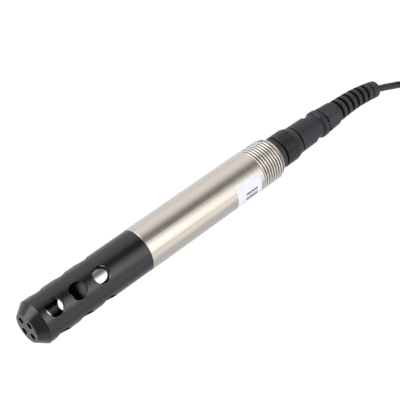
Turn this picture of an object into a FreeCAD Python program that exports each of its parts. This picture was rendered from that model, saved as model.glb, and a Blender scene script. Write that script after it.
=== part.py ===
import FreeCAD, Part
import math
import os

V = FreeCAD.Vector
ORIGIN = V(0, 0, 0)
ALONG = V(1, 0, 0)

# Driving dimensions, in millimetres and degrees. The sensor lies along X, nose at -X.
tube_d = 27.0
tube_wall = 1.5
tube_len = 89.9
joint_fit = 0.05
running_fit = 0.1
thread_fit = 0.15

guard_d = 26.6
guard_wall = 2.0
guard_len = 78.3
guard_nose_d = 17.9
guard_nose_wall = 3.4
guard_chamfer_len = 5.8
guard_thread_len = 16.0
port_d = 10.2
port_first = 14.7
port_pitch = 16.05
port_row_count = 3
port_edge = 0.3
nose_hole_d = 4.0
nose_hole_reach = 5.3

cap_from_nose = 38.5
cap_rim_d = 19.4
cap_rim_len = 3.0
cap_face_wall = 1.3
cap_skirt_d = 16.0
cap_skirt_wall = 1.5
cap_skirt_len = 8.5
cap_seal_cord_d = 0.9
foil_d = 9.0
foil_thick = 0.4

barrel_d = 21.8
barrel_thread_d = 22.8
snout_d = 12.4
optic_bore_d = 10.0
window_thick = 2.0
spigot_len = 14.0

block_len = 10.0
eye_d = 2.6
eye_reach = 2.5
eye_depth = 4.0
thermistor_d = 2.0
thermistor_len = 4.0
thermistor_reach = 7.3

seal_cord_d = 1.5
seal_sides = 10
board_w = 17.0
board_gap = 1.95
board_end_room = 3.0
header_w = 11.0
header_len = 2.5
board_thick = 1.6
carrier_len = 4.0
chip_thick = 1.2
can_d = 4.0
can_tall = 4.5
can_spacing = 7.0
wire_d = 0.8

thread_d = 26.65
thread_len = 18.7
thread_chamfer_len = 2.8
thread_chamfer = 1.4
flat_across = 25.1
flat_turn = -67.0
adapter_bore_d = 16.8

label_len = 19.7
label_to_thread = 3.0
label_thick = 0.08
label_start = 14.0
label_sweep = 120.0

flange_d = 20.6
flange_len = 5.0
flange_seal_thick = 0.8
shell_d = 15.2
shell_wall = 1.2
shell_len = 11.0
sleeve_len = 13.0
pin_count = 5
pin_share = 0.305
pin_reach_share = 0.63
pin_len = 9.0
socket_wall = 0.4

ring_d = 20.9
ring_rear_d = 18.2
ring_len = 14.6
ring_straight = 9.8
ring_gap = 0.8
ring_groove_count = 6
ring_groove_d = 1.2
ring_groove_turn = 25.0

plug_d = 18.1
plug_rear_d = 17.7
plug_len = 14.0
plug_step = 0.8
plug_neck_d = 15.5
plug_neck_len = 5.8
plug_wall = 1.0
collar_d = 17.8
collar_len = 4.8
collar_round = 1.0
collar_tooth_count = 20
tooth_deep = 0.7
nut_gap = 0.4
nut_flats_front = 16.4
nut_flats_rear = 15.1
nut_len = 11.0
nut_turn = 8.0
nut_thread_d = 13.2
nut_thread_len = 8.0

boot_front_d = 14.2
boot_rear_d = 10.9
boot_core_d = 8.2
boot_first_ring = 2.3
boot_slot = 2.2
boot_slot_pitch = 5.1
boot_slot_count = 6
boot_last_groove = 0.8
boot_cap_len = 5.8
boot_cap_round = 1.2
boot_web = 4.4
boot_web_under = 0.3
boot_straight = 12.0
boot_bend = 12.0
boot_droop = 25.0

cable_d = 4.5
hank_loop_r = 13.9
hank_columns = 3
hank_layers = 6
hank_run = 77.0
hank_from_boot = 41.4
hank_side = -11.6
hank_round = 2.0
tie_w = 16.0
tie_thick = 0.8
core_count = 4
core_d = 1.3
core_len = 18.0
ferrule_len = 7.0

# The cable's free route, measured from the end of the bend relief; the last point is at the hank.
cable_route = [
    (0.0, 0.0, 0.0),
    (4.2, -0.81, -0.38),
    (9.5, -3.9, -1.1),
    (14.5, -6.0, -2.0),
    (22.1, -8.2, -3.7),
    (32.0, -11.2, -6.4),
    (38.5, -16.2, -8.8),
    (44.6, -22.8, -9.9),
]

# The cable's last stretch, measured from the first end centre of the hank, at the hank's underside.
end_route = [
    (4.4, -12.0, 24.0),
    (10.2, -9.4, 22.4),
    (17.0, -7.2, 18.6),
    (24.7, -5.3, 12.7),
    (33.1, -2.4, 7.2),
    (42.4, -0.9, 4.0),
    (52.0, -0.6, 2.9),
]

# Stations along the axis, from the nose face
thread_start = guard_len + tube_len
thread_end = thread_start + thread_len
flange_end = thread_end + flange_len
ring_start = flange_end + ring_gap
ring_end = ring_start + ring_len
plug_start = ring_end + running_fit + 0.3
neck_start = plug_start + plug_len
collar_start = neck_start + plug_neck_len
collar_end = collar_start + collar_len
nut_start = collar_end + nut_gap
nut_end = nut_start + nut_len
boot_start = nut_end + 0.1
slots_len = boot_slot_count * boot_slot_pitch
last_groove_at = boot_first_ring + slots_len + 1.1
boot_len = last_groove_at + boot_last_groove + boot_cap_len
boot_r = (boot_len - boot_straight) / math.radians(boot_bend)
boot_reach = boot_straight + boot_r * math.sin(math.radians(boot_bend))

# Radii that several pieces share
tube_r = tube_d / 2
tube_bore_r = tube_r - tube_wall
guard_bore_r = guard_d / 2 - guard_wall
guard_thread_r = barrel_thread_d / 2 + thread_fit
cap_skirt_bore_r = cap_skirt_d / 2 - cap_skirt_wall
plug_nose_r = shell_d / 2 - shell_wall - running_fit
shell_end = flange_end + shell_len
plug_flange_r = shell_d / 2 + 1.0
insert_r = plug_nose_r - plug_wall - joint_fit
pin_d = insert_r * pin_share
pin_reach = insert_r * pin_reach_share
board_len = tube_len - 2 * spigot_len - 2 * board_gap

# The axis lies at the height of the tube's radius, and the origin is under the middle of the length.
nose_x = -(boot_start + boot_reach) / 2
axis_z = tube_r
bend_way = V(0, -math.cos(math.radians(boot_droop)), -math.sin(math.radians(boot_droop)))


def put(shape):
    """Moves a shape from the sensor's own axis to where the sensor lies."""
    shape.translate(V(nose_x, 0, axis_z))
    return shape


def save(name, *solids):
    """Writes one sub-part, after a look at each of its solids."""
    for solid in solids:
        if not solid.isValid() or solid.Volume <= 0:
            print("not a good solid:", name)
    shape = solids[0] if len(solids) == 1 else Part.makeCompound(list(solids))
    shape.exportStep("parts/%s.step" % name)


def rod(x, length, radius, y=0.0, z=0.0):
    return Part.makeCylinder(radius, length, V(x, y, z), ALONG)


def sleeve(x, length, radius, bore):
    return rod(x, length, radius).cut(rod(x - 1, length + 2, bore))


def turned(points):
    """A solid of revolution from a closed outline of (x, radius) points."""
    corners = [V(x, 0, r) for x, r in points]
    outline = Part.makePolygon(corners + corners[:1])
    return Part.Face(outline).revolve(ORIGIN, ALONG, 360)


def seal_ring(x, radius, cord):
    """An O-ring whose cord lies at the given radius round the axis."""
    angles = [2 * math.pi * i / seal_sides for i in range(seal_sides)]
    return turned([(x + cord / 2 * math.cos(a), radius + cord / 2 * math.sin(a)) for a in angles])


def around(count, reach, start=0.0):
    """Evenly spaced places (y, z) on a circle round the axis, from straight up."""
    for i in range(count):
        angle = math.radians(start + i * 360.0 / count)
        yield reach * -math.sin(angle), reach * math.cos(angle)


def make_guard():
    """The turned guard: ported wall, coned nose with four holes, and a threaded skirt behind."""
    radius = guard_d / 2
    thread_x = guard_len - guard_thread_len
    cone = guard_bore_r - guard_nose_d / 2 + guard_wall
    body = turned([
        (0, 0),
        (0, guard_nose_d / 2),
        (guard_chamfer_len, radius),
        (guard_len, radius),
        (guard_len, guard_thread_r),
        (thread_x, guard_thread_r),
        (thread_x, guard_bore_r),
        (guard_nose_wall + cone, guard_bore_r),
        (guard_nose_wall, guard_nose_d / 2 - guard_wall),
        (guard_nose_wall, 0),
    ])
    for row in range(port_row_count):
        x = port_first + row * port_pitch
        for way in (V(0, 1, 0), V(0, 0, 1)):
            start = V(x, 0, 0) - way * guard_d
            body = body.cut(Part.makeCylinder(port_d / 2, 2 * guard_d, start, way))
    for y, z in around(4, nose_hole_reach):
        body = body.cut(rod(-1, guard_nose_wall + 4, nose_hole_d / 2, y, z))
    return eased_ports(body)


def eased_ports(body):
    """Breaks the outer edge of each port, as a deburred hole is."""
    rims = []
    for edge in body.Edges:
        box = edge.BoundBox
        far = max(abs(box.YMin), abs(box.YMax), abs(box.ZMin), abs(box.ZMax))
        if abs(box.XLength - port_d) < 0.01 and far > guard_d / 2 - 0.01:
            rims.append(edge)
    return body.makeChamfer(port_edge, rims)


def make_cap():
    """The screw-on sensing cap: a rimmed cup whose skirt goes into the steel barrel."""
    front = cap_from_nose
    rim_end = front + cap_rim_len
    groove = cap_seal_cord_d / 2 + 0.1
    return turned([
        (front + foil_thick, 0),
        (front + foil_thick, foil_d / 2 + joint_fit),
        (front, foil_d / 2 + joint_fit),
        (front, foil_d / 2 + 0.7),
        (front + 0.5, foil_d / 2 + 0.9),
        (front + 0.5, foil_d / 2 + 1.9),
        (front, foil_d / 2 + 2.1),
        (front, cap_rim_d / 2 - 0.8),
        (front + 0.8, cap_rim_d / 2),
        (rim_end, cap_rim_d / 2),
        (rim_end, cap_skirt_d / 2),
        (cap_seal_x - groove, cap_skirt_d / 2),
        (cap_seal_x - groove, cap_skirt_d / 2 - cap_seal_cord_d + joint_fit),
        (cap_seal_x + groove, cap_skirt_d / 2 - cap_seal_cord_d + joint_fit),
        (cap_seal_x + groove, cap_skirt_d / 2),
        (rim_end + cap_skirt_len, cap_skirt_d / 2),
        (rim_end + cap_skirt_len, cap_skirt_bore_r),
        (front + foil_thick + cap_face_wall, cap_skirt_bore_r),
        (front + foil_thick + cap_face_wall, 0),
    ])


barrel_front = cap_from_nose + cap_rim_len + 0.1
snout_front = cap_from_nose + foil_thick + cap_face_wall + 0.2
recess_end = barrel_front + cap_skirt_len + 0.4
barrel_thread_x = guard_len - guard_thread_len + 0.6
spigot_end = guard_len + spigot_len
window_x = snout_front + 0.1
block_x = window_x + window_thick + 0.1
seal_x = guard_len - 2.0
cap_seal_x = cap_from_nose + cap_rim_len + 2.0


def make_barrel():
    """The steel nose barrel: polished front, guard thread, seal groove and welding spigot."""
    thread_r = barrel_thread_d / 2
    body = turned([
        (snout_front, optic_bore_d / 2),
        (snout_front, snout_d / 2),
        (recess_end, snout_d / 2),
        (recess_end, cap_skirt_d / 2 + running_fit),
        (barrel_front, cap_skirt_d / 2 + running_fit),
        (barrel_front, barrel_d / 2 - 0.3),
        (barrel_front + 0.3, barrel_d / 2),
        (barrel_thread_x, barrel_d / 2),
        (barrel_thread_x + thread_r - barrel_d / 2, thread_r),
        (seal_x - 0.9, thread_r),
        (seal_x - 0.9, thread_r - seal_cord_d + 0.1),
        (seal_x + 0.9, thread_r - seal_cord_d + 0.1),
        (seal_x + 0.9, thread_r),
        (guard_len, thread_r),
        (guard_len, tube_bore_r - joint_fit),
        (spigot_end, tube_bore_r - joint_fit),
        (spigot_end, optic_bore_d / 2),
    ])
    well_x = recess_end + 1.5
    return body.cut(rod(well_x, spigot_end, thermistor_d / 2 + joint_fit, 0, thermistor_reach))


def make_optics():
    """What looks at the foil from behind: window, block, lamps, photodiode, filter, thermistor."""
    save("optic_window", put(rod(window_x, window_thick, optic_bore_d / 2 - joint_fit)))
    block = rod(block_x, block_len, optic_bore_d / 2 - joint_fit)
    eyes = list(around(3, eye_reach))
    for y, z in eyes:
        block = block.cut(rod(block_x - 1, eye_depth + 1, eye_d / 2, y, z))
        block = block.cut(rod(block_x, block_len + 1, wire_d / 2, y, z))
    save("optic_block", put(block))
    eye_r = eye_d / 2 - joint_fit
    for name, (y, z) in zip(("blue_led", "red_led", "photodiode"), eyes):
        front = block_x + 1.4
        dome = Part.makeSphere(eye_r, V(front, y, z))
        base = rod(front, block_x + eye_depth - 0.1 - front, eye_r, y, z)
        save(name, put(base.fuse(dome).common(rod(block_x + 0.5, block_len, eye_r, y, z))))
    y, z = eyes[2]
    save("optical_filter", put(rod(block_x, 0.4, eye_r, y, z)))
    bead_r = thermistor_d / 2
    bead_x = recess_end + 1.5 + bead_r + 0.2
    bead = Part.makeSphere(bead_r, V(bead_x, 0, thermistor_reach))
    stem = rod(bead_x, thermistor_len, bead_r, 0, thermistor_reach)
    save("thermistor", put(stem.fuse(bead)))


def make_nose_seals():
    """The O-rings under the guard and round the cap's skirt."""
    guard_seal_r = guard_thread_r - seal_cord_d / 2 - joint_fit
    save("guard_seal", put(seal_ring(seal_x, guard_seal_r, seal_cord_d)))
    cap_seal_r = cap_skirt_d / 2 + joint_fit - cap_seal_cord_d / 2
    save("cap_seal", put(seal_ring(cap_seal_x, cap_seal_r, cap_seal_cord_d)))


def make_tube():
    """The stainless body tube, with both inner edges eased."""
    ease = 0.4
    start = guard_len + 0.02
    end = thread_start
    return turned([
        (start, tube_bore_r + ease),
        (start, tube_r - 0.15),
        (start + 0.15, tube_r),
        (end, tube_r),
        (end, tube_bore_r),
        (start + ease, tube_bore_r),
    ])


def make_label():
    """The wrapped label, a thin film on the tube."""
    start = thread_start - label_to_thread - label_len
    inner = tube_r + 0.01
    sheet = Part.Face(Part.makePolygon([
        V(start, 0, inner),
        V(start + label_len, 0, inner),
        V(start + label_len, 0, inner + label_thick),
        V(start, 0, inner + label_thick),
        V(start, 0, inner),
    ]))
    sheet.rotate(ORIGIN, ALONG, label_start)
    return sheet.revolve(ORIGIN, ALONG, label_sweep)


def make_adapter():
    """The rear end piece: spigot, thread blank with two wrench flats, and the socket's bore."""
    crest = thread_d / 2
    seat_r = flange_d / 2 - 0.5
    body = turned([
        (thread_start - spigot_len, adapter_bore_d / 2),
        (thread_start - spigot_len, tube_bore_r - joint_fit),
        (thread_start, tube_bore_r - joint_fit),
        (thread_start, crest),
        (thread_end - thread_chamfer_len, crest),
        (thread_end, crest - thread_chamfer),
        (thread_end, seat_r),
        (thread_end - flange_seal_thick, seat_r),
        (thread_end - flange_seal_thick, adapter_bore_d / 2),
    ])
    for side in (-1, 1):
        block = Part.makeBox(thread_len + 1, thread_d, thread_d)
        block.translate(V(thread_start - 0.1, -thread_d / 2, flat_across / 2))
        if side < 0:
            block = block.mirror(ORIGIN, V(0, 0, 1))
        block.rotate(ORIGIN, ALONG, flat_turn)
        body = body.cut(block)
    return body


def make_electronics():
    """The board on two carriers in the tube, its parts, and the wires to each end."""
    board_x = spigot_end + board_gap
    board_end = board_x + board_len
    board = Part.makeBox(board_len, board_w, board_thick, V(board_x, -board_w / 2, -board_thick / 2))
    save("main_board", put(board))
    slot = Part.makeBox(
        board_len + 2,
        board_w + 2 * joint_fit,
        board_thick + 2 * joint_fit,
        V(board_x - 1, -board_w / 2 - joint_fit, -board_thick / 2 - joint_fit),
    )
    places = (
        ("front_carrier", board_x + board_end_room),
        ("rear_carrier", board_end - board_end_room - carrier_len),
    )
    for name, x in places:
        ring = sleeve(x, carrier_len, tube_bore_r - joint_fit, board_w / 2 - 2.2)
        save(name, put(ring.cut(slot)))
    top = board_thick / 2
    for name, share, side_x, side_y in (
        ("signal_chip", 0.17, 9.0, 9.0),
        ("converter_chip", 0.4, 6.0, 5.0),
        ("bus_chip", 0.58, 5.0, 4.0),
    ):
        chip_x = board_x + share * board_len
        chip = Part.makeBox(side_x, side_y, chip_thick, V(chip_x, -side_y / 2, top))
        save(name, put(chip))
    can_x = board_end - board_end_room - carrier_len - 1.5 * can_d
    cans = [
        Part.makeCylinder(can_d / 2, can_tall, V(can_x, y, top), V(0, 0, 1))
        for y in (-can_spacing / 2, can_spacing / 2)
    ]
    save("board_capacitors", *[put(can) for can in cans])
    for name, x in (("sensor_header", board_x + 0.1), ("cable_header", board_end - header_len - 0.1)):
        header = Part.makeBox(header_len, header_w, header_len, V(x, -header_w / 2, top))
        save(name, put(header))
    front = []
    for y, z in around(3, eye_reach):
        front.append(put(rod(block_x + eye_depth, board_x - block_x - eye_depth, wire_d / 2 - 0.05, y, z)))
    save("sensor_leads", *front)
    wires = []
    pin_tail = thread_end - sleeve_len - 1.0
    for y, z in around(pin_count, pin_reach):
        wires.append(put(rod(board_end, pin_tail - board_end, wire_d / 2, y, z)))
    save("socket_leads", *wires)


def make_receptacle():
    """The panel socket: flange against the end piece, sleeve in its bore, shell for the plug."""
    bore_fit = adapter_bore_d / 2 - joint_fit
    floor_x = thread_end + 1.0
    floor_r = shell_d / 2 - shell_wall
    body = turned([
        (thread_end - sleeve_len, 0),
        (thread_end - sleeve_len, bore_fit),
        (thread_end, bore_fit),
        (thread_end, flange_d / 2),
        (flange_end - 0.5, flange_d / 2),
        (flange_end, flange_d / 2 - 0.5),
        (flange_end, shell_d / 2),
        (shell_end, shell_d / 2),
        (shell_end, floor_r),
        (floor_x, floor_r),
        (floor_x, 0),
    ])
    pins = []
    for y, z in around(pin_count, pin_reach):
        start = thread_end - sleeve_len - 1.0
        end = floor_x + pin_len
        body = body.cut(rod(start - 1, end - start, pin_d / 2 + 0.01, y, z))
        pin = rod(start, end - pin_d / 2 - start, pin_d / 2, y, z)
        tip = Part.makeCone(pin_d / 2, pin_d / 5, pin_d / 2, V(end - pin_d / 2, y, z), ALONG)
        pins.append(put(pin.fuse(tip)))
    save("panel_socket", put(body))
    save("socket_pins", *pins)
    seal = sleeve(thread_end - flange_seal_thick, flange_seal_thick, flange_d / 2 - 0.55, bore_fit + 0.05)
    save("socket_seal", put(seal))


def make_coupling_ring():
    """The turning ring: threaded over the socket's shell, held behind the plug's flange."""
    flange_x = shell_end + 1.0
    body = turned([
        (ring_start, shell_d / 2 + thread_fit),
        (ring_start, ring_d / 2 - 0.5),
        (ring_start + 0.5, ring_d / 2),
        (ring_start + ring_straight, ring_d / 2),
        (ring_end, ring_rear_d / 2),
        (ring_end, shell_d / 2),
        (flange_x + 1.6, shell_d / 2),
        (flange_x + 1.6, plug_flange_r + running_fit),
        (flange_x - 0.3, plug_flange_r + running_fit),
        (flange_x - 0.3, shell_d / 2 + thread_fit),
    ])
    for y, z in around(ring_groove_count, ring_d / 2 + 0.25, ring_groove_turn):
        body = body.cut(rod(ring_start + 1.2, ring_len, ring_groove_d / 2, y, z))
    return body


def make_plug():
    """The plug body in one piece: nose sleeve, flange, grip, neck, toothed collar, rear thread."""
    flange_x = shell_end + 1.0
    shank_r = shell_d / 2 - running_fit
    bore_r = plug_nose_r - plug_wall
    nose_x0 = flange_end + 0.4
    thread_r = nut_thread_d / 2
    insert_end = plug_start + 1.5
    rear_bore = cable_d / 2 + 2.3
    body = turned([
        (nose_x0, bore_r),
        (nose_x0, plug_nose_r),
        (flange_x, plug_nose_r),
        (flange_x, plug_flange_r),
        (flange_x + 1.3, plug_flange_r),
        (flange_x + 1.3, shank_r),
        (plug_start, shank_r),
        (plug_start, plug_d / 2 - 0.3),
        (plug_start + 0.3, plug_d / 2),
        (neck_start - plug_step, plug_rear_d / 2),
        (neck_start, plug_neck_d / 2),
        (collar_start, plug_neck_d / 2),
        (collar_start, collar_d / 2 - collar_round),
        (collar_start + collar_round, collar_d / 2),
        (collar_end - collar_round * 0.6, collar_d / 2),
        (collar_end, collar_d / 2 - collar_round * 0.6),
        (collar_end, thread_r),
        (collar_end + nut_thread_len, thread_r),
        (collar_end + nut_thread_len, rear_bore),
        (collar_start, rear_bore),
        (collar_start, cable_d / 2 + 0.3),
        (neck_start, cable_d / 2 + 0.3),
        (neck_start, bore_r - 0.6),
        (insert_end, bore_r - 0.6),
        (insert_end, bore_r),
    ])
    for y, z in around(collar_tooth_count, collar_d / 2):
        body = body.cut(rod(collar_end - 1.0, 2.0, tooth_deep, y, z))
    return body


def make_contacts():
    """The plug's insert with its sockets, standing round the socket's pins."""
    floor_x = thread_end + 1.0
    front = max(flange_end + 0.6, floor_x + 1.0)
    end = plug_start + 1.4
    insert = rod(front, end - front, insert_r)
    socket_r = pin_d / 2 + running_fit + socket_wall
    tubes = []
    for y, z in around(pin_count, pin_reach):
        insert = insert.cut(rod(front - 1, end - front + 2, socket_r + 0.02, y, z))
        tube = rod(front + 0.3, end - front + 1.5, socket_r, y, z)
        depth = floor_x + pin_len + 1.0 - front
        tubes.append(put(tube.cut(rod(front - 1, depth + 1, pin_d / 2 + running_fit, y, z))))
    save("contact_insert", put(insert))
    save("plug_contacts", *tubes)
    face = sleeve(shell_end + 0.1, 0.8, shell_d / 2 - 0.1, plug_nose_r + 0.05)
    save("plug_seal", put(face))
    return end + 1.8


def make_cable_clamp():
    """The grommet and the split claw that the back nut squeezes on the cable."""
    bore = cable_d / 2 + 0.05
    rear_bore = cable_d / 2 + 2.3
    grommet = sleeve(collar_start + 0.1, collar_len, rear_bore - 0.05, bore)
    save("cable_seal", put(grommet))
    claw_x = collar_start + 0.1 + collar_len + 0.05
    claw_end = collar_end + nut_thread_len
    claw = sleeve(claw_x, claw_end - claw_x, rear_bore - 0.05, bore)
    for turn in (0, 60, 120):
        slot = Part.makeBox(claw_end, 0.7, 4 * rear_bore, V(claw_x + 1.5, -0.35, -2 * rear_bore))
        slot.rotate(ORIGIN, ALONG, turn)
        claw = claw.cut(slot)
    save("clamp_claw", put(claw))


boot_flange_x = collar_end + nut_thread_len + 0.1
boot_flange_len = nut_end - boot_flange_x - 1.0
boot_flange_r = nut_thread_d / 2 - 0.2
boot_neck_r = cable_d / 2 + 1.9


def hexagon(x, across, turn):
    reach = across / 2 / math.cos(math.radians(30))
    corners = [V(x, y, z) for y, z in around(6, reach, turn)]
    return Part.makePolygon(corners + corners[:1])


def make_back_nut():
    """The tapering hexagon nut, its corners turned down, over the plug's rear thread."""
    wires = [hexagon(nut_start, nut_flats_front, nut_turn), hexagon(nut_end, nut_flats_rear, nut_turn)]
    body = Part.makeLoft(wires, True, True)
    front_r = nut_flats_front / 2 + 0.7
    rear_r = nut_flats_rear / 2 + 0.6
    body = body.common(turned([
        (nut_start, 0),
        (nut_start, front_r - 0.6),
        (nut_start + 0.6, front_r),
        (nut_end - 0.8, rear_r),
        (nut_end, rear_r - 1.0),
        (nut_end, 0),
    ]))
    body = body.cut(rod(nut_start - 1, nut_end - nut_start, nut_thread_d / 2 + 0.05))
    return body.cut(rod(nut_start, 2 * nut_len, boot_neck_r + 0.05))


def bend_centre():
    return V(boot_start + boot_straight, 0, 0) + bend_way * boot_r


def along_boot(shape, s):
    """Carries a shape that was made at the front of the bend relief to the distance s along it."""
    shape.translate(ALONG * min(s, boot_straight))
    bent = max(0.0, s - boot_straight)
    shape.rotate(bend_centre(), ALONG.cross(bend_way), math.degrees(bent / boot_r))
    return shape


def boot_radius(s):
    return (boot_front_d + (boot_rear_d - boot_front_d) * s / boot_len) / 2


def boot_slice(s, length, under=0.0):
    """A short cone of the bend relief, at its outside or a little under it."""
    start = V(boot_start, 0, 0)
    return Part.makeCone(boot_radius(s) - under, boot_radius(s + length) - under, length, start, ALONG)


def bent_rod(radius):
    """A round rod along the bend, behind the straight stretch."""
    disc = Part.Face(Part.Wire(Part.makeCircle(radius, V(boot_start + boot_straight, 0, 0), ALONG)))
    return disc.revolve(bend_centre(), ALONG.cross(bend_way), boot_bend)


def make_boot():
    """The ribbed bend relief: rings and side webs on a bent core, with a plain end cap."""
    body = rod(boot_flange_x, boot_flange_len, boot_flange_r)
    body = body.fuse(rod(boot_flange_x, boot_start + 0.5 - boot_flange_x, boot_neck_r))
    body = body.fuse(boot_slice(0, boot_first_ring))
    core = rod(boot_start + 1, boot_straight - 1, boot_core_d / 2).fuse(bent_rod(boot_core_d / 2))
    body = body.fuse(core.removeSplitter())
    ring = boot_slot_pitch - boot_slot
    for i in range(boot_slot_count):
        s = boot_first_ring + i * boot_slot_pitch
        length = ring if i < boot_slot_count - 1 else last_groove_at - s - boot_slot
        web = Part.makeBox(boot_slot + 4, 2 * boot_front_d, boot_web)
        web.translate(V(boot_start - 2, -boot_front_d, -boot_web / 2))
        web = web.common(boot_slice(s - 0.3, boot_slot + 0.6, boot_web_under))
        body = body.fuse(along_boot(web, s - 0.3))
        body = body.fuse(along_boot(boot_slice(s + boot_slot, length), s + boot_slot))
    neck = rod(boot_start, boot_last_groove + 1, boot_rear_d / 2 - 0.7)
    body = body.fuse(along_boot(neck, last_groove_at - 0.5))
    cap_s = last_groove_at + boot_last_groove
    body = body.fuse(rounded_cap(cap_s))
    straight = boot_start + boot_straight - boot_flange_x
    body = body.cut(rod(boot_flange_x - 1, straight + 1, cable_d / 2 + joint_fit))
    return body.cut(bent_rod(cable_d / 2 + joint_fit))


def rounded_cap(s):
    """The plain end of the bend relief, rounded over at its rear edge."""
    cap = Part.makeCone(boot_radius(s), boot_radius(boot_len), boot_cap_len, V(boot_start, 0, 0), ALONG)
    rear = [e for e in cap.Edges if e.BoundBox.XMin > boot_start + boot_cap_len - 0.01]
    return along_boot(cap.makeFillet(boot_cap_round, rear), s)


def make_cable_tail(start):
    """The cable inside the plug and the bend relief."""
    straight = rod(start, boot_start + boot_straight - start, cable_d / 2)
    return straight.fuse(bent_rod(cable_d / 2)).removeSplitter()


def boot_end():
    """Where the cable leaves the bend relief, on the sensor's own axes."""
    sag = boot_r * (1 - math.cos(math.radians(boot_bend)))
    return V(boot_start + boot_reach, 0, 0) + bend_way * sag


def rounded_path(points):
    """Straight runs joined by tangent arcs, as large as the two runs of each corner allow."""
    edges = []
    radii = []
    last = points[0]
    for before, corner, after in zip(points, points[1:], points[2:]):
        way_in = (corner - before).normalize()
        way_out = (after - corner).normalize()
        turn = way_in.getAngle(way_out)
        trim = 0.45 * min(before.distanceToPoint(corner), corner.distanceToPoint(after))
        radii.append(trim / math.tan(turn / 2))
        start = corner - way_in * trim
        end = corner + way_out * trim
        inward = (way_out - way_in).normalize()
        middle = corner + inward * radii[-1] * (1 / math.cos(turn / 2) - 1)
        edges.append(Part.LineSegment(last, start).toShape())
        edges.append(Part.Arc(start, middle, end).toShape())
        last = end
    edges.append(Part.LineSegment(last, points[-1]).toShape())
    return Part.Wire(edges), radii


def piped(points):
    """A stretch of cable along a route, with its bends and its volume printed."""
    path, radii = rounded_path(points)
    way = (points[1] - points[0]).normalize()
    disc = Part.Wire(Part.makeCircle(cable_d / 2, points[0], way))
    tube = path.makePipeShell([disc], True, True)
    section = math.pi * cable_d ** 2 / 4
    print("radii", [round(r, 1) for r in radii], "length", round(path.Length, 1))
    print("volume over section times length", round(tube.Volume / (section * path.Length), 4))
    return tube


def make_cable():
    """The cable's free stretch, from the bend relief to the hank."""
    return piped([boot_end() + V(*step) for step in cable_route])


hank_x = boot_start + boot_reach + hank_from_boot
hank_outer_r = hank_loop_r + (hank_columns - 1) * cable_d + cable_d / 2
hank_inner_r = hank_loop_r - cable_d / 2
hank_floor = -axis_z + tie_thick


def racetrack(radius, z, height):
    """A flat-sided oval block round the hank's two end centres."""
    x0 = hank_x + hank_outer_r
    body = Part.makeBox(hank_run, 2 * radius, height, V(x0, hank_side - radius, z))
    for x in (x0, x0 + hank_run):
        body = body.fuse(Part.makeCylinder(radius, height, V(x, hank_side, z)))
    return body.removeSplitter()


def make_hank():
    """The outer shape of the cable that is folded up and tied."""
    height = hank_layers * cable_d
    body = racetrack(hank_outer_r, hank_floor, height)
    body = body.makeChamfer(hank_round * 0.7, [e for e in body.Edges if e.BoundBox.ZLength < 0.01])
    return body.cut(racetrack(hank_inner_r, hank_floor - 1, height + 2))


def make_tie():
    """The strap round the middle of the hank."""
    x = hank_x + hank_outer_r + (hank_run - tie_w) / 2
    inner_w = 2 * hank_outer_r + 0.2
    inner_h = hank_layers * cable_d + 0.1
    y = hank_side - inner_w / 2
    outer = Part.makeBox(tie_w, inner_w + 2 * tie_thick, inner_h + 2 * tie_thick, V(x, y - tie_thick, -axis_z))
    long_edges = [e for e in outer.Edges if e.BoundBox.XLength > tie_w - 0.01]
    outer = outer.makeFillet(hank_round + tie_thick, long_edges)
    inner = Part.makeBox(tie_w + 2, inner_w, inner_h, V(x - 1, y, hank_floor - 0.05))
    long_edges = [e for e in inner.Edges if e.BoundBox.XLength > tie_w + 1.99]
    return outer.cut(inner.makeFillet(hank_round - 0.2, long_edges))


def make_cable_end():
    """The cable's last stretch, down from the top of the hank's inner turn into its middle."""
    corner = V(hank_x + hank_outer_r, hank_side, hank_floor)
    points = [corner + V(*step) for step in end_route]
    save("cable_end", put(piped(points)))
    tip = points[-1]
    cores = []
    ferrules = []
    for y, z in around(core_count, core_d / math.sqrt(2) + 0.1, 45.0):
        cores.append(put(rod(tip.x + 0.3, core_len - 0.3, core_d / 2, tip.y + y, tip.z + z)))
        ferrules.append(put(rod(tip.x + core_len, ferrule_len, core_d / 2, tip.y + y, tip.z + z)))
    save("cable_cores", *cores)
    save("core_ferrules", *ferrules)


def main():
    os.makedirs("parts", exist_ok=True)
    save("guard", put(make_guard()))
    save("sensing_cap", put(make_cap()))
    foil = rod(cap_from_nose, foil_thick, foil_d / 2)
    save("sensing_foil", put(foil))
    save("nose_barrel", put(make_barrel()))
    make_optics()
    make_nose_seals()
    save("body_tube", put(make_tube()))
    save("label", put(make_label()))
    save("threaded_end", put(make_adapter()))
    make_electronics()
    make_receptacle()
    save("coupling_ring", put(make_coupling_ring()))
    save("plug_body", put(make_plug()))
    tail_start = make_contacts()
    make_cable_clamp()
    save("back_nut", put(make_back_nut()))
    save("bend_relief", put(make_boot()))
    save("cable_tail", put(make_cable_tail(tail_start)))
    save("cable", put(make_cable()))
    save("cable_hank", put(make_hank()))
    save("hank_tie", put(make_tie()))
    make_cable_end()
    print("nose at", round(nose_x, 2), "boot end", [round(c, 2) for c in boot_end() + V(nose_x, 0, axis_z)])
    print("hank starts at", round(hank_x + nose_x, 2))


main()
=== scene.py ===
import math

import bmesh
import bpy
from mathutils import Matrix, Vector


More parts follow.
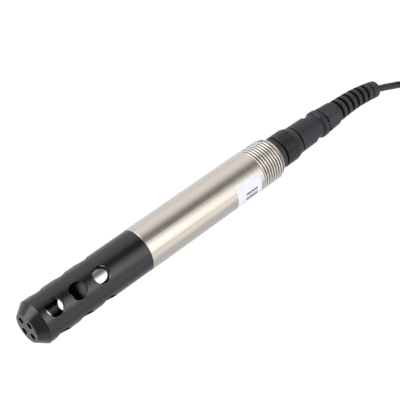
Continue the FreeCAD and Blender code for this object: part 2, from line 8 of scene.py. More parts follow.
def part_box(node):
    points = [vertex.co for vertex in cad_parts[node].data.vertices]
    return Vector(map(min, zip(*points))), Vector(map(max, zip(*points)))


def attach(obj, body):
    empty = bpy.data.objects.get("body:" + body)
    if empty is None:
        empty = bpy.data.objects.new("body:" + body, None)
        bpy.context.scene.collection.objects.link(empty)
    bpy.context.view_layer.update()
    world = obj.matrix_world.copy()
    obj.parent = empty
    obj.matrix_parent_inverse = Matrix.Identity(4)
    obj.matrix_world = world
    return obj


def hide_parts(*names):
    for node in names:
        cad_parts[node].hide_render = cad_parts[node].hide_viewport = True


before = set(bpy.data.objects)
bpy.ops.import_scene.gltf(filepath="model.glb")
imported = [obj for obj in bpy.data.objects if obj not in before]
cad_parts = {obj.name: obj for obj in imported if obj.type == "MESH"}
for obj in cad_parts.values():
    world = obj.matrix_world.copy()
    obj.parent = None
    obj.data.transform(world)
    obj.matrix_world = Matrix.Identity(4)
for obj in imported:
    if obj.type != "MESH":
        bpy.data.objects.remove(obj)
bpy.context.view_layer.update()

mm = 0.001
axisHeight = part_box("body_tube")[1].z / 2  # the sensor lies on the floor, so its axis is one radius up
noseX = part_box("guard")[0].x
print("frame loaded,", len(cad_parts), "nodes")


# small helpers

def deselect():
    if bpy.context.object and bpy.context.object.mode == "EDIT":
        bpy.ops.object.mode_set(mode="OBJECT")
    bpy.ops.object.select_all(action="DESELECT")


def finishMesh(piece, name, smoothAngle=35.0):
    # place goes into the mesh, normals out, smooth by angle
    deselect()
    piece.name = name
    piece.data.name = name
    piece.select_set(True)
    bpy.context.view_layer.objects.active = piece
    bpy.ops.object.transform_apply(location=True, rotation=True, scale=True)
    bpy.ops.object.mode_set(mode="EDIT")
    bpy.ops.mesh.select_all(action="SELECT")
    bpy.ops.mesh.remove_doubles(threshold=1e-6)
    bpy.ops.mesh.normals_make_consistent(inside=False)
    bpy.ops.object.mode_set(mode="OBJECT")
    bpy.ops.object.shade_smooth_by_angle(angle=math.radians(smoothAngle))


def dress(piece, material):
    piece.data.materials.clear()
    piece.data.materials.append(material)


# node helpers: a value is a socket to link, or a constant

def join(tree, value, socket):
    if isinstance(value, bpy.types.NodeSocket):
        tree.links.new(value, socket)
    else:
        socket.default_value = value


def addNode(tree, kind, **values):
    # one node, with its sockets or settings filled in by name
    node = tree.nodes.new(kind)
    for key, value in values.items():
        if hasattr(node, key):
            setattr(node, key, value)
        else:
            join(tree, value, node.inputs[key.replace("_", " ")])
    return node


def calc(tree, operation, *values):
    node = addNode(tree, "ShaderNodeMath", operation=operation)
    for value, socket in zip(values, node.inputs):
        join(tree, value, socket)
    return node.outputs["Value"]


def dot(tree, vector, way):
    node = addNode(tree, "ShaderNodeVectorMath", operation="DOT_PRODUCT")
    join(tree, vector, node.inputs[0])
    join(tree, way, node.inputs[1])
    return node.outputs["Value"]


def mixValues(tree, share, first, second, kind="RGBA", way="MIX"):
    node = addNode(tree, "ShaderNodeMix", data_type=kind, blend_type=way)
    for key, value in (("Factor", share), ("A", first), ("B", second)):
        join(tree, value, node.inputs[key])
    return node.outputs["Result"]


def mixShaders(tree, share, first, second):
    node = addNode(tree, "ShaderNodeMixShader", Fac=share)
    tree.links.new(first, node.inputs[1])
    tree.links.new(second, node.inputs[2])
    return node.outputs["Shader"]


def addShaders(tree, first, second):
    node = addNode(tree, "ShaderNodeAddShader")
    tree.links.new(first, node.inputs[0])
    tree.links.new(second, node.inputs[1])
    return node.outputs["Shader"]


def ramp(tree, source, stops):
    node = addNode(tree, "ShaderNodeValToRGB", Fac=source)
    band = node.color_ramp
    while len(band.elements) < len(stops):
        band.elements.new(0.5)
    for element, (position, color) in zip(band.elements, stops):
        element.position = position
        element.color = (*color, 1.0)
    return node.outputs["Color"]


def span(tree, source, low, high, fromLow=0.3, fromHigh=0.7):
    node = addNode(tree, "ShaderNodeMapRange", Value=source, From_Min=fromLow, From_Max=fromHigh,
                   To_Min=low, To_Max=high)
    return node.outputs["Result"]


def bump(tree, shader, source, strength, distance):
    node = addNode(tree, "ShaderNodeBump", Strength=strength, Distance=distance, Height=source)
    tree.links.new(node.outputs["Normal"], shader.inputs["Normal"])


def place(tree, kind="Object"):
    return addNode(tree, "ShaderNodeTexCoord").outputs[kind]


def apart(tree, vector):
    # the vector's X, Y and Z
    return addNode(tree, "ShaderNodeSeparateXYZ", Vector=vector).outputs


def grain(tree, scale, stretch=(1.0, 1.0, 1.0), detail=4.0):
    # noise on the piece's own coordinates, drawn out where stretch is small
    move = addNode(tree, "ShaderNodeMapping", Vector=place(tree), Scale=stretch)
    noise = addNode(tree, "ShaderNodeTexNoise", Vector=move.outputs["Vector"], Scale=scale, Detail=detail,
                    Roughness=0.6)
    return noise.outputs["Fac"]


def offAxis(tree):
    # distance from the sensor's axis
    move = addNode(tree, "ShaderNodeMapping", Vector=place(tree), Location=(0.0, 0.0, -axisHeight),
                   Scale=(0.0, 1.0, 1.0))
    reach = addNode(tree, "ShaderNodeVectorMath", operation="LENGTH")
    tree.links.new(move.outputs["Vector"], reach.inputs[0])
    return reach.outputs["Value"]


def startMaterial(name, baseColor, roughness, metallic=0.0, gloss=0.5):
    material = bpy.data.materials.new(name)
    material.use_nodes = True
    tree = material.node_tree
    shader = tree.nodes["Principled BSDF"]
    shader.inputs["Base Color"].default_value = (*baseColor, 1.0)
    shader.inputs["Roughness"].default_value = roughness
    shader.inputs["Metallic"].default_value = metallic
    shader.inputs["Specular IOR Level"].default_value = gloss
    return material, tree, shader


# materials

plasticSurface = {
    "cloud": 60.0,                     # slow changes of tone
    "toneFrom": (0.3, 0.75),
    "roughRange": (-0.05, 0.06),       # round its mean
    "marks": (5200.0, 60.0, 60.0),     # turning marks, close along the axis
    "bump": (0.06, 0.03 * mm),
}
steelSurface = {
    "round": 90.0,                     # how long the streaks are round the axis
    "slow": 25.0,
    "slowShare": 0.35,
    "roughRange": (-0.04, 0.05),
    "height": 0.02 * mm,
}


def paintedGapShade(tree, shader, color, gloss, gapShade):
    # painted shade in the gaps between parts: dark and dull in narrow bands along the sensor
    along = apart(tree, place(tree))["X"]
    bands = [calc(tree, "MULTIPLY", calc(tree, "COMPARE", along, middle, half * mm),
                  calc(tree, "LESS_THAN", offAxis(tree), reach * mm))
             for middle, half, reach in gapShade["lines"]]
    share = calc(tree, "MAXIMUM", *bands)
    tree.links.new(span(tree, share, gloss, gapShade["gloss"], 0.0, 1.0), shader.inputs["Specular IOR Level"])
    return mixValues(tree, share, color, (*gapShade["color"], 1.0))


def boreGloss(tree, gloss, bore):
    # the bore stays as drilled, duller than the turned outside
    outside = span(tree, offAxis(tree), 0.0, 1.0, bore["dull"] * mm, bore["bright"] * mm)
    start = noseX + bore["from"] * mm
    ahead = span(tree, apart(tree, place(tree))["X"], 1.0, 0.0, start - bore["fade"] * mm, start)
    return span(tree, calc(tree, "MAXIMUM", outside, ahead), bore["gloss"], gloss, 0.0, 1.0)


def plasticRoughness(tree, shader, fine, rough):
    less, more = plasticSurface["roughRange"]
    tree.links.new(span(tree, fine, rough + less, rough + more), shader.inputs["Roughness"])


def turnedPlastic(name, dark, light, rough, grainSize, marks=0.0, gloss=0.5, gapShade=None, bore=None):
    # moulded or turned plastic: faint cloudy tone, fine grain, optional turning marks, optional painted gap
    # shade
    material, tree, shader = startMaterial(name, dark, rough, gloss=gloss)
    low, high = plasticSurface["toneFrom"]
    tone = ramp(tree, grain(tree, plasticSurface["cloud"], detail=3.0), [(low, dark), (high, light)])
    if gapShade:
        tone = paintedGapShade(tree, shader, tone, gloss, gapShade)
    if bore:
        tree.links.new(boreGloss(tree, gloss, bore), shader.inputs["Specular IOR Level"])
    tree.links.new(tone, shader.inputs["Base Color"])
    fine = grain(tree, grainSize, detail=2.0)
    plasticRoughness(tree, shader, fine, rough)
    if marks:
        rings = grain(tree, 1.0, stretch=plasticSurface["marks"], detail=1.0)
        fine = calc(tree, "MULTIPLY_ADD", rings, marks, fine)
    bump(tree, shader, fine, *plasticSurface["bump"])
    return material


def ringShadedPlastic(name, rings, grainShare, rough, gloss):
    # turned plastic with painted light and shade in rings round the axis: lit rims and shaded grooves
    material, tree, shader = startMaterial(name, rings[0][1], rough, gloss=gloss)
    widest = rings[-1][0]
    share = span(tree, offAxis(tree), 0.0, 1.0, 0.0, widest * mm)
    tone = ramp(tree, share, [(radius / widest, color) for radius, color in rings])
    fine = grain(tree, 1200.0, detail=2.0)
    tree.links.new(mixValues(tree, grainShare, tone, fine, way="MULTIPLY"), shader.inputs["Base Color"])
    plasticRoughness(tree, shader, fine, rough)
    bump(tree, shader, fine, *plasticSurface["bump"])
    return material


def lengthwiseLine(tree, color, line):
    # a fine darker line along the tube at one angle
    angle = math.radians(line["angle"])
    beside = dot(tree, place(tree), (0.0, -math.cos(angle), -math.sin(angle)))
    near = calc(tree, "COMPARE", beside, -math.sin(angle) * axisHeight, line["width"] / 2 * mm)
    above = span(tree, apart(tree, place(tree))["Z"], 0.0, line["depth"], axisHeight, axisHeight + mm)
    return mixValues(tree, calc(tree, "MULTIPLY", near, above), color, (*line["color"], 1.0))


def grooveShade(tree, color, groove):
    # painted shade low on the flanks of the thread, by distance from the axis and by which way they face
    depth = span(tree, offAxis(tree), 1.0, 0.0, groove["root"] * mm, groove["crest"] * mm)
    lean = calc(tree, "ABSOLUTE", apart(tree, place(tree, "Normal"))["X"])
    share = calc(tree, "MULTIPLY", depth, span(tree, lean, 0.0, 1.0, *groove["lean"]))
    return mixValues(tree, share, color, (*groove["color"], 1.0))


def steelFinish(name, color, shade, rough, streak, strength, line=None, groove=None):
    # steel finished on a lathe or belt: fine streaks round the axis, soft tone changes along it
    material, tree, shader = startMaterial(name, color, rough, metallic=1.0)
    look = steelSurface
    rings = grain(tree, 1.0, stretch=(streak, look["round"], look["round"]), detail=3.0)
    slow = grain(tree, look["slow"], detail=2.0)
    mixed = mixValues(tree, look["slowShare"], rings, slow, kind="FLOAT")
    painted = ramp(tree, mixed, [(0.3, shade), (0.7, color)])
    if line:
        painted = lengthwiseLine(tree, painted, line)
    if groove:
        painted = grooveShade(tree, painted, groove)
    tree.links.new(painted, shader.inputs["Base Color"])
    less, more = look["roughRange"]
    tree.links.new(span(tree, mixed, rough + less, rough + more), shader.inputs["Roughness"])
    bump(tree, shader, rings, strength, look["height"])
    return material


def labelFilm(bars):
    # white film with two printed bars and fainter marks between them
    material, tree, shader = startMaterial("label_film", bars["paper"], bars["rough"][1])
    axes = apart(tree, place(tree))
    turn = calc(tree, "ARCTAN2", calc(tree, "MULTIPLY", axes["Y"], -1.0),
                calc(tree, "SUBTRACT", axes["Z"], axisHeight))

    def row(angle, width):
        return calc(tree, "COMPARE", turn, math.radians(angle), width / 2 * mm / axisHeight)

    middle = noseX + (bars["from"] + bars["to"]) / 2 * mm
    inLength = calc(tree, "COMPARE", axes["X"], middle, (bars["to"] - bars["from"]) / 2 * mm)
    slant = calc(tree, "MULTIPLY_ADD", turn, axisHeight, axes["X"])
    wave = calc(tree, "FRACT", calc(tree, "DIVIDE", slant, bars["hatchPitch"] * mm))
    ticks = span(tree, wave, 0.0, bars["hatchInk"], 0.4, 0.6)
    hatch = calc(tree, "MULTIPLY", row(*bars["hatch"]), ticks)
    solid = calc(tree, "MAXIMUM", *(row(*bar) for bar in bars["rows"]))
    printed = calc(tree, "MULTIPLY", calc(tree, "MAXIMUM", solid, hatch), inLength)
    toned = grain(tree, bars["grain"], detail=2.0)
    paper = ramp(tree, toned, [(0.3, bars["paperShade"]), (0.7, bars["paper"])])
    tree.links.new(mixValues(tree, printed, paper, (*bars["ink"], 1.0)), shader.inputs["Base Color"])
    smooth, _, dull = bars["rough"]
    tree.links.new(span(tree, toned, smooth, dull), shader.inputs["Roughness"])
    return material


def glassFinish(name, tint, rough):
    material, tree, shader = startMaterial(name, tint, rough)
    shader.inputs["Transmission Weight"].default_value = 0.85
    haze = grain(tree, 400.0, detail=2.0)
    tree.links.new(span(tree, haze, rough, rough + 0.04), shader.inputs["Roughness"])
    return material


labelBars = {
    "from": 152.2,          # mm from the nose
    "to": 161.7,
    "rows": ((51.0, 1.05), (68.3, 1.7)),  # angle from straight up towards the camera's side, and width
    "hatch": (59.4, 2.4),
    "hatchPitch": 0.9,
    "hatchInk": 0.5,
    "ink": (0.05, 0.05, 0.055),
    "paper": (0.61, 0.635, 0.66),
    "paperShade": (0.595, 0.62, 0.65),
    "grain": 180.0,
    "rough": (0.32, 0.38, 0.44),
}
# radii in millimetres; the bore's dull part lies inside the wall and behind the nose's plate
guardBore = {"dull": 11.4, "bright": 11.9, "from": 7.5, "fade": 0.1, "gloss": 0.35}
# painted shade in the thread's roots: radii in mm where it is full and where it ends, the flank lean over which
# it comes in, and its colour
threadGrooveShade = {"root": 12.6, "crest": 13.2, "lean": (0.25, 0.6), "color": (0.12, 0.1, 0.07)}
tubeLine = {"angle": 31.5, "width": 0.45, "depth": 0.5, "color": (0.3, 0.25, 0.2)}
plugGapShade = {
    "color": (0.0006, 0.0006, 0.0006),
    "gloss": 0.02,
    # painted shade behind the ring and in the collar's notches: middle in metres, half width and greatest
    # radius in mm
    "lines": ((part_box("coupling_ring")[1].x + 0.2 * mm, 0.5, 12.0),
              (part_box("back_nut")[0].x - 0.5 * mm, 0.8, 8.8)),
}
capRingsLitAndShaded = (  # radius in mm and tone: the cap's own dark face, with painted highlights on the rims and a painted shadow in the groove
    (0.0, (0.06, 0.06, 0.065)),
    (5.15, (0.06, 0.06, 0.065)),
    (5.3, (0.3, 0.3, 0.31)),
    (5.5, (0.3, 0.3, 0.31)),
    (5.7, (0.003, 0.003, 0.003)),
    (6.5, (0.003, 0.003, 0.003)),
    (6.8, (0.03, 0.03, 0.034)),
    (8.6, (0.02, 0.02, 0.024)),
    (9.3, (0.08, 0.08, 0.085)),
    (9.7, (0.08, 0.08, 0.085)),
)

guardPlastic = turnedPlastic("guard_plastic", (0.0009, 0.0011, 0.0022), (0.0022, 0.0024, 0.0046), 0.18, 900.0,
                             marks=0.2, gloss=0.66, bore=guardBore)
capPlastic = turnedPlastic("cap_plastic", (0.022, 0.022, 0.026), (0.032, 0.032, 0.037), 0.3, 1200.0, gloss=0.9)
capRingShading = ringShadedPlastic("cap_ring_shading", capRingsLitAndShaded, 0.4, 0.3, 0.9)
connectorPlastic = turnedPlastic("connector_plastic", (0.009, 0.009, 0.013), (0.014, 0.014, 0.02), 0.42, 1500.0,
                                 gapShade=plugGapShade)
ringPlastic = turnedPlastic("ring_plastic", (0.004, 0.004, 0.006), (0.008, 0.008, 0.011), 0.4, 1500.0,
                            gloss=0.4, gapShade=plugGapShade)
nutPlastic = turnedPlastic("nut_plastic", (0.012, 0.012, 0.018), (0.019, 0.019, 0.027), 0.42, 1500.0)
reliefRubber = turnedPlastic("relief_rubber", (0.009, 0.009, 0.011), (0.016, 0.016, 0.019), 0.48, 700.0)
cableJacket = turnedPlastic("cable_jacket", (0.006, 0.006, 0.0075), (0.012, 0.012, 0.014), 0.4, 500.0)
strapWeave = turnedPlastic("strap_weave", (0.02, 0.02, 0.02), (0.045, 0.045, 0.045), 0.85, 2500.0)
foilFace = turnedPlastic("foil_face", (0.05, 0.05, 0.054), (0.062, 0.062, 0.066), 0.35, 1800.0, gloss=0.8)
sealRubber = turnedPlastic("seal_rubber", (0.012, 0.012, 0.012), (0.02, 0.02, 0.02), 0.55, 1600.0)
boardGreen = turnedPlastic("board_green", (0.012, 0.09, 0.035), (0.02, 0.13, 0.05), 0.35, 900.0)
chipBlack = turnedPlastic("chip_black", (0.02, 0.02, 0.02), (0.03, 0.03, 0.03), 0.6, 2500.0)
carrierPlastic = turnedPlastic("carrier_plastic", (0.55, 0.55, 0.52), (0.65, 0.65, 0.62), 0.5, 900.0)
leadRed = turnedPlastic("lead_red", (0.4, 0.02, 0.015), (0.5, 0.03, 0.02), 0.45, 900.0)
brushedSteel = steelFinish("brushed_steel", (0.675, 0.615, 0.545), (0.645, 0.585, 0.515), 0.2, 3200.0, 0.08,
                           line=tubeLine)
machinedSteel = steelFinish("machined_steel", (0.85, 0.8, 0.74), (0.8, 0.75, 0.69), 0.19, 1200.0, 0.05,
                            groove=threadGrooveShade)
polishedSteel = steelFinish("polished_steel", (0.7, 0.68, 0.65), (0.64, 0.62, 0.59), 0.06, 1500.0, 0.03)
canMetal = steelFinish("can_metal", (0.7, 0.7, 0.7), (0.6, 0.6, 0.6), 0.3, 900.0, 0.1)
goldContact = steelFinish("contact_gold", (0.9, 0.66, 0.28), (0.82, 0.58, 0.22), 0.2, 900.0, 0.05)
windowGlass = glassFinish("window_glass", (0.95, 0.97, 0.98), 0.03)
blueLens = glassFinish("blue_lens", (0.15, 0.35, 0.9), 0.08)
redLens = glassFinish("red_lens", (0.85, 0.08, 0.06), 0.08)
labelPaper = labelFilm(labelBars)
print("materials made")


# camera and studio

cameraPlace = {
    "location": (-0.33706, -0.0392, 0.58869),
    "azimuth": -82.56,
    "elevation": 60.33,
    "roll": 46.47,
    "angle": 19.915,  # the picture's full angle, in degrees
    "sensor": 36.0,
    "clip": (0.01, 20.0),
}


def makeCamera():
    turn, lift, roll = (math.radians(cameraPlace[key]) for key in ("azimuth", "elevation", "roll"))
    right = Vector((math.cos(turn), math.sin(turn), 0.0))
    forward = Vector((-math.sin(turn) * math.cos(lift), math.cos(turn) * math.cos(lift), -math.sin(lift)))
    up = right.cross(forward)
    rolledRight = right * math.cos(roll) + up * math.sin(roll)
    rolledUp = up * math.cos(roll) - right * math.sin(roll)
    deselect()
    bpy.ops.object.camera_add(location=cameraPlace["location"])
    camera = bpy.context.object
    camera.name = "viewpoint"
    camera.rotation_mode = "QUATERNION"
    camera.rotation_quaternion = Matrix((rolledRight, rolledUp, -forward)).transposed().to_quaternion()
    camera.data.sensor_width = cameraPlace["sensor"]
    camera.data.lens = cameraPlace["sensor"] / 2 / math.tan(math.radians(cameraPlace["angle"] / 2))
    camera.data.clip_start, camera.data.clip_end = cameraPlace["clip"]
    bpy.context.scene.camera = camera


studio = {
    "floorSize": 6.0,
    "floorPaint": 0.1,           # how much of the floor's tone takes the object's shadow
    "floorGlow": 0.96,           # the rest of it, for the camera
    "floorMirror": (0.6, 0.84),  # the same in reflections, on the camera's side and beyond the object
    "floorChange": (-0.03, 0.03),  # the stretch of Y in which it goes from the one to the other
    "floorCool": (0.95, 0.975, 1.04),
    "bounce": 0.85,              # the floor as it lights the object
    "fill": 0.72,                # world strength for soft light
    "keyPower": 26.0,
    "keySize": 1.1,
    "keyPlace": (0.15, -1.0, 1.5),
    # what polished things see over the object: long lights and screens that stand askew to the sensor,
    # by angle in degrees from straight up
    "askew": 55.0,
    "surround": ((-90, 1.05), (-62, 1.05), (-50, 0.8), (-42, 0.42), (-37, 0.22), (-28, 0.22), (-24, 0.45),
                 (-20, 1.1), (-14, 1.5), (-7, 1.68), (-1, 1.48), (5, 1.18), (25, 1.08), (90, 1.0)),
    "frontDim": 0.36,            # the same towards the nose, where it is darker but for one window
    "frontChange": (-0.35, 0.05),
    "windowWay": (-0.62, 0.74, 0.25),
    "windowGlow": 2.56,
    "windowReach": (0.86, 0.975),  # cosine from the window's middle, where it begins and where it is full
    # a long light that only the guard sees, by angle and by how far the way to it leans along the sensor
    "noseLamp": {"angle": -3.0, "half": 13.0, "glow": 2.24, "reach": (0.33, 0.44)},
}


def makeFloor():
    deselect()
    bpy.ops.mesh.primitive_plane_add(size=studio["floorSize"], location=(0.0, 0.0, 0.0))
    floor = bpy.context.object
    floor.name = "floor"
    material = bpy.data.materials.new("floor_paint")
    material.use_nodes = True
    tree = material.node_tree
    tree.nodes.clear()
    rays = addNode(tree, "ShaderNodeLightPath").outputs
    direct = rays["Is Camera Ray"]
    seen = calc(tree, "MAXIMUM", calc(tree, "MAXIMUM", direct, rays["Is Glossy Ray"]),
                rays["Is Transmission Ray"])
    bounce = addNode(tree, "ShaderNodeBsdfDiffuse", Color=(studio["bounce"],) * 3 + (1.0,))
    paint = addNode(tree, "ShaderNodeBsdfDiffuse", Color=(studio["floorPaint"],) * 3 + (1.0,))
    tint = ramp(tree, direct, [(0.0, studio["floorCool"]), (1.0, (1.0, 1.0, 1.0))])
    mirrored = span(tree, apart(tree, place(tree))["Y"], *studio["floorMirror"], *studio["floorChange"])
    tone = mixValues(tree, direct, mirrored, studio["floorGlow"], kind="FLOAT")
    glow = addNode(tree, "ShaderNodeEmission", Color=tint, Strength=tone)
    shown = addShaders(tree, paint.outputs["BSDF"], glow.outputs["Emission"])
    addNode(tree, "ShaderNodeOutputMaterial", Surface=mixShaders(tree, seen, bounce.outputs["BSDF"], shown))
    dress(floor, material)


def makeWorld():
    world = bpy.data.worlds.new("studio")
    bpy.context.scene.world = world
    world.use_nodes = True
    tree = world.node_tree
    tree.nodes.clear()

    def light(strength, color=(1.0, 1.0, 1.0, 1.0)):
        return addNode(tree, "ShaderNodeBackground", Color=color, Strength=strength).outputs["Background"]

    way = place(tree, "Generated")
    swing = addNode(tree, "ShaderNodeMapping", Vector=way, Rotation=(0.0, 0.0, math.radians(studio["askew"])))
    swung = apart(tree, swing.outputs["Vector"])
    along = apart(tree, way)["X"]
    turn = calc(tree, "ARCTAN2", calc(tree, "MULTIPLY", swung["Y"], -1.0), swung["Z"])

    peak = max(value for angle, value in studio["surround"])
    stops = [((angle + 90) / 180, (value / peak,) * 3) for angle, value in studio["surround"]]
    share = span(tree, turn, 0.0, 1.0, -math.pi / 2, math.pi / 2)
    dim = span(tree, along, studio["frontDim"] * peak, peak, *studio["frontChange"])
    screens = light(dim, ramp(tree, share, stops))

    facing = dot(tree, way, Vector(studio["windowWay"]).normalized())
    window = light(span(tree, facing, 0.0, studio["windowGlow"], *studio["windowReach"]))

    lamp = studio["noseLamp"]
    off = calc(tree, "ABSOLUTE", calc(tree, "SUBTRACT", turn, math.radians(lamp["angle"])))
    across = span(tree, off, lamp["glow"], 0.0, 0.0, math.radians(lamp["half"]))
    reach = span(tree, along, 1.0, 0.0, *lamp["reach"])
    noseLight = light(calc(tree, "MULTIPLY", across, reach))

    mirrored = addShaders(tree, screens, addShaders(tree, window, noseLight))
    rays = addNode(tree, "ShaderNodeLightPath").outputs
    lit = mixShaders(tree, rays["Is Glossy Ray"], light(studio["fill"]), mirrored)
    direct = calc(tree, "MAXIMUM", rays["Is Camera Ray"], rays["Is Transmission Ray"])
    addNode(tree, "ShaderNodeOutputWorld", Surface=mixShaders(tree, direct, lit, light(1.0)))


def makeLamp():
    deselect()
    bpy.ops.object.light_add(type="AREA", location=studio["keyPlace"])
    lamp = bpy.context.object
    lamp.name = "key"
    lamp.data.size = studio["keySize"]
    lamp.data.energy = studio["keyPower"]
    lamp.rotation_mode = "QUATERNION"
    lamp.rotation_quaternion = (Vector((0, 0, 0)) - lamp.location).to_track_quat("-Z", "Y")
    lamp.visible_glossy = False


bpy.context.scene.view_settings.view_transform = "Standard"
makeCamera()
makeFloor()
makeWorld()
makeLamp()
print("camera and studio ready")


# cable: free stretch, hank and last end are one smooth line

cable = {
    "diameter": 4.5,
    "length": 5.0,   # metres
    # the end of the bend relief, and the way on from it, in millimetres
    "start": (142.1, -2.7, 12.24),
    "route": ((0.0, 0.0, 0.0), (4.2, -1.5, -0.7), (9.5, -3.1, -0.9), (14.5, -4.8, -1.6),
              (22.1, -7.0, -2.8), (32.0, -11.2, -6.4), (38.5, -16.2, -8.8), (44.6, -22.8, -9.9)),
    # the first of the hank's two end centres, the way to the second, and the radii from the outside in
    "firstEnd": (208.65, -11.6),
    "run": 77.0,
    "radii": (22.9, 18.4, 13.9),
    "layers": 6,
    "lowest": 3.05,
    "knotStep": 30,  # degrees between the points on a round end
    # the last stretch, from the first end centre at the underside of the hank
    "underside": 0.8,
    "lastRoute": ((4.4, -12.0, 24.0), (10.2, -9.4, 22.4), (17.0, -7.2, 18.6), (24.7, -5.3, 12.7),
                  (33.1, -2.4, 7.2), (42.4, -0.9, 4.0), (52.0, -0.6, 2.9)),
    "roundness": 5,
}


def smoothStep(share):
    share = min(1.0, max(0.0, share))
    return share * share * (3 - 2 * share)


def hankPoints():
    # outer column up, middle one down, inner one up; layers change on the far end, columns on the near one
    firstX, middleY = cable["firstEnd"]
    secondX = firstX + cable["run"]
    columns = len(cable["radii"])
    points = []

    def roundEnd(centreX, radius, angle, height):
        # the points lie outside the arc, so that the line between them runs on it
        reach = radius / math.cos(math.radians(cable["knotStep"] / 2))
        a = math.radians(angle)
        points.append((centreX + reach * math.cos(a), middleY + reach * math.sin(a), height))

    for turn in range(cable["layers"] * columns):
        column, step = divmod(turn, cable["layers"])
        radius = cable["radii"][column]
        rising = column % 2 == 0
        top = step == cable["layers"] - 1
        low = step if rising else cable["layers"] - 1 - step
        change = 0 if top else (1 if rising else -1)
        nextRadius = cable["radii"][column + 1] if top and column < columns - 1 else radius

        def height(share):
            return cable["lowest"] + cable["diameter"] * (low + change * smoothStep(share))

        for angle in (225, 255):  # the near end, after the column change
            roundEnd(firstX, radius, angle, height(0))
        for share in (0.2, 0.5, 0.8):
            points.append((firstX + cable["run"] * share, middleY - radius, height(0)))
        for i, angle in enumerate(range(285, 436, cable["knotStep"])):
            roundEnd(secondX, radius, angle, height((i + 0.5) / 6))
        for share in (0.8, 0.5, 0.2):
            points.append((firstX + cable["run"] * share, middleY + radius, height(1)))
        for i, angle in enumerate(range(105, 196, cable["knotStep"])):
            here = radius + (nextRadius - radius) * smoothStep((i + 0.5) / 4)
            roundEnd(firstX, here, angle, height(1))
    highest = cable["lowest"] + cable["diameter"] * (cable["layers"] - 1)
    for angle in (225, 255):
        roundEnd(firstX, cable["radii"][-1], angle, highest)
    return points


def cablePoints():
    startX, startY, startZ = cable["start"]
    points = [(startX + x, startY + y, startZ + z) for x, y, z in cable["route"]]
    points += hankPoints()
    firstX, middleY = cable["firstEnd"]
    points += [(firstX + x, middleY + y, cable["underside"] + z) for x, y, z in cable["lastRoute"]]
    return [Vector(p) * mm for p in points]


def makeCable():
    points = cablePoints()
    curve = bpy.data.curves.new("cable_line", "CURVE")
    curve.dimensions = "3D"
    curve.bevel_depth = cable["diameter"] / 2 * mm
    curve.bevel_resolution = cable["roundness"]
    curve.resolution_u = cable["roundness"]
    curve.use_fill_caps = True
    spline = curve.splines.new("NURBS")
    spline.points.add(len(points) - 1)
    for knot, point in zip(spline.points, points):
        knot.co = (*point, 1.0)
    spline.order_u = 3
    spline.use_endpoint_u = True
    line = bpy.data.objects.new("cable_line", curve)
    bpy.context.scene.collection.objects.link(line)
    dress(line, cableJacket)
    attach(line, "plug")
    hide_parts("cable", "cable_hank", "cable_end")
    print("cable has", len(points), "points")
    return line


strap = {"thick": 0.8, "corner": 2.4, "edge": 0.25}


def makeStrap():
    # a strap once round the hank
    low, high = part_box("hank_tie")
    thick = strap["thick"] * mm
    deselect()
    bpy.ops.mesh.primitive_cube_add(size=1.0, location=(low + high) / 2)
    band = bpy.context.object
    band.scale = (high.x - low.x, high.y - low.y - thick, high.z - low.z - thick)
    bpy.ops.object.transform_apply(location=True, rotation=True, scale=True)
    bpy.ops.object.mode_set(mode="EDIT")
    bpy.ops.mesh.select_all(action="DESELECT")
    shape = bmesh.from_edit_mesh(band.data)
    for face in shape.faces:  # the two open sides
        face.select_set(abs(face.normal.x) > 0.9)
    bmesh.update_edit_mesh(band.data)
    bpy.ops.mesh.delete(type="FACE")
    shape = bmesh.from_edit_mesh(band.data)
    for edge in shape.edges:  # the four long corners
        edge.select_set(abs(edge.verts[0].co.x - edge.verts[1].co.x) > thick)
    bmesh.update_edit_mesh(band.data)
    bpy.ops.mesh.bevel(offset=strap["corner"] * mm, segments=6, affect="EDGES")
    bpy.ops.mesh.select_all(action="SELECT")
    bpy.ops.mesh.normals_make_consistent(inside=False)
    bpy.ops.object.mode_set(mode="OBJECT")
    wall = band.modifiers.new("wall", "SOLIDIFY")
    wall.thickness = thick
    wall.offset = 0.0
    rim = band.modifiers.new("rim", "BEVEL")
    rim.width = strap["edge"] * mm
    rim.segments = 2
    for name in ("wall", "rim"):
        bpy.ops.object.modifier_apply(modifier=name)
    finishMesh(band, "hank_strap")
    dress(band, strapWeave)
    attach(band, "plug")
    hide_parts("hank_tie")
    return band


cableLine = makeCable()
strapBand = makeStrap()
print("cable and strap made")


# the threaded end: a real helical thread with two wrench flats and a chamfered rear edge

thread = {
    "start": 168.2,        # mm from the nose
    "end": 186.9,
    "crest": 13.325,
    "root": 12.3,
    "pitch": 2.0,
    "crestShare": 0.36,
    "crestRound": 0.16,    # mm, the crest's edges turned down
    "rootShare": 0.06,
    "steps": 96,
    "chamferLength": 2.8,
    "chamferDepth": 1.4,
    "flat": 12.55,         # from the axis
    "flatTurn": -67.0,
    "smooth": 44.0,
    "weld": 2e-6,
    "cut": 1e-7,
}


def toothOutline():
    # one pitch of the thread: share of the pitch and radius, from root to root
    crest, root, soft = thread["crest"], thread["root"], thread["crestRound"]
    flank = (1 - thread["crestShare"] - thread["rootShare"]) / 2
    rise, fall = thread["rootShare"] + flank, 1 - flank
    lower = soft / (crest - root) * flank  # how far along its flank a rounded edge begins
    return [(0.0, root), (thread["rootShare"], root), (rise - lower, crest - soft), (rise, crest - soft / 3),
            (rise + lower, crest), (fall - lower, crest), (fall, crest - soft / 3),
            (fall + lower, crest - soft), (1.0, root)]


def cutAway(point, way, **side):
    bpy.ops.mesh.select_all(action="SELECT")
    bpy.ops.mesh.bisect(plane_co=point, plane_no=way, use_fill=True, threshold=thread["cut"], **side)


def turnChamfer(piece, rear):
    # the rear chamfer turns the last crests down
    length = thread["chamferLength"] * mm
    for vert in piece.data.vertices:
        past = vert.co.x - (rear - length)
        if past > 0:
            limit = (thread["crest"] - thread["chamferDepth"] * past / length) * mm
            offset = Vector((0.0, vert.co.y, vert.co.z - axisHeight))
            if offset.length > limit:
                offset *= limit / offset.length
                vert.co.y = offset.y
                vert.co.z = axisHeight + offset.z


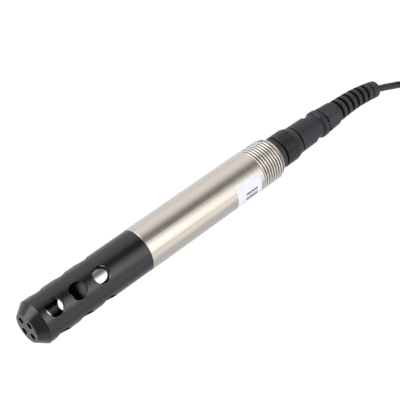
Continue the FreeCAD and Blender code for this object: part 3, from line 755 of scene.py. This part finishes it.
def makeThread():
    pitch = thread["pitch"]
    front, rear = (noseX + thread[key] * mm for key in ("start", "end"))
    deselect()
    bpy.ops.mesh.primitive_plane_add(size=mm, location=(front - pitch * mm, 0.0, axisHeight))
    piece = bpy.context.object
    bpy.ops.object.mode_set(mode="EDIT")
    shape = bmesh.from_edit_mesh(piece.data)
    bmesh.ops.delete(shape, geom=shape.verts[1:], context="VERTS")
    shape.verts.ensure_lookup_table()
    shape.verts[0].co = (0.0, 0.0, thread["root"] * mm)
    shape.verts[0].select_set(True)
    bmesh.update_edit_mesh(piece.data)
    tooth = toothOutline()
    for before, after in zip(tooth, tooth[1:]):
        step = ((after[0] - before[0]) * pitch * mm, 0.0, (after[1] - before[1]) * mm)
        bpy.ops.mesh.extrude_vertices_move(TRANSFORM_OT_translate={"value": step})
    bpy.ops.object.mode_set(mode="OBJECT")
    turn = piece.modifiers.new("helix", "SCREW")
    turn.axis = "X"
    turn.screw_offset = pitch * mm
    turn.iterations = math.ceil((thread["end"] - thread["start"]) / pitch) + 2
    turn.steps = thread["steps"]
    turn.render_steps = thread["steps"]
    bpy.ops.object.modifier_apply(modifier="helix")
    bpy.ops.object.transform_apply(location=True, rotation=True, scale=True)
    bpy.ops.object.mode_set(mode="EDIT")
    bpy.ops.mesh.select_all(action="SELECT")
    bpy.ops.mesh.remove_doubles(threshold=thread["weld"])
    cutAway((front, 0.0, axisHeight), (1.0, 0.0, 0.0), clear_inner=True)
    cutAway((rear, 0.0, axisHeight), (1.0, 0.0, 0.0), clear_outer=True)
    for turnBy in (thread["flatTurn"], thread["flatTurn"] + 180):
        a = math.radians(turnBy)
        way = Vector((0.0, -math.sin(a), math.cos(a)))
        cutAway(Vector((0.0, 0.0, axisHeight)) + way * thread["flat"] * mm, way, clear_outer=True)
    bpy.ops.object.mode_set(mode="OBJECT")
    turnChamfer(piece, rear)
    finishMesh(piece, "thread_form", thread["smooth"])
    dress(piece, machinedSteel)
    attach(piece, "probe")
    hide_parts("threaded_end")
    print("thread has", len(piece.data.polygons), "faces")


makeThread()


# finishes of the CAD pieces

finishes = {
    guardPlastic: ("guard",),
    capRingShading: ("sensing_cap",),
    capPlastic: ("optic_block", "contact_insert"),
    foilFace: ("sensing_foil",),
    sealRubber: ("guard_seal", "cap_seal", "socket_seal", "plug_seal", "cable_seal"),
    polishedSteel: ("nose_barrel", "thermistor"),
    brushedSteel: ("body_tube",),
    labelPaper: ("label",),
    connectorPlastic: ("panel_socket", "plug_body", "clamp_claw"),
    ringPlastic: ("coupling_ring",),
    nutPlastic: ("back_nut",),
    reliefRubber: ("bend_relief",),
    cableJacket: ("cable_tail",),
    windowGlass: ("optic_window", "optical_filter"),
    blueLens: ("blue_led",),
    redLens: ("red_led",),
    chipBlack: ("photodiode", "signal_chip", "converter_chip", "bus_chip", "sensor_header", "cable_header"),
    boardGreen: ("main_board",),
    canMetal: ("board_capacitors",),
    carrierPlastic: ("front_carrier", "rear_carrier"),
    leadRed: ("sensor_leads", "socket_leads", "cable_cores"),
    goldContact: ("socket_pins", "plug_contacts", "core_ferrules"),
}
for material, names in finishes.items():
    for name in names:
        dress(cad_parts[name], material)
print("finishes laid on")
